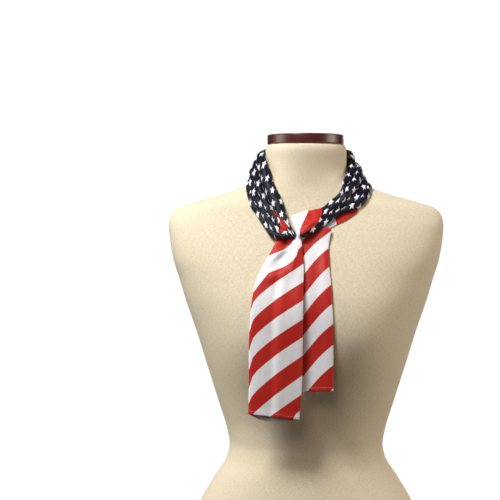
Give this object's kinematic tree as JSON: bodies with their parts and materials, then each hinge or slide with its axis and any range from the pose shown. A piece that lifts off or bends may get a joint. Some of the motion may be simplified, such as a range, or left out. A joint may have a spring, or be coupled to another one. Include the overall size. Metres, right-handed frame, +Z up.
{
  "type": "flag scarf on dress form",
  "caption": "Long narrow satin flag scarf, folded lengthwise, tied once round the neck of a limbless cloth-covered dress form, its striped ends hanging in front.",
  "frame": {"origin": "centre of the flat base that the form stands on", "axes": "+Z up along the neck, the front of the form with the knot and tails faces -Y, +X to the right seen from the front"},
  "size_m": [0.3896, 0.2567, 0.837],
  "materials": {
    "form_jersey": "cream cotton jersey stretched smooth, matt",
    "cap_wood": "dark mahogany stain, satin lacquer",
    "star_satin": "navy polyester satin printed with small white five-pointed stars",
    "stripe_satin": "polyester satin printed with diagonal red and white stripes"
  },
  "bodies": {
    "root": {"form_torso": "form_jersey", "form_neck_cap": "cap_wood", "neck_loop": "star_satin", "knot_fan": "stripe_satin", "under_layer": "stripe_satin", "front_tail": "stripe_satin", "back_tail": "stripe_satin"}
  },
  "joints": []
}
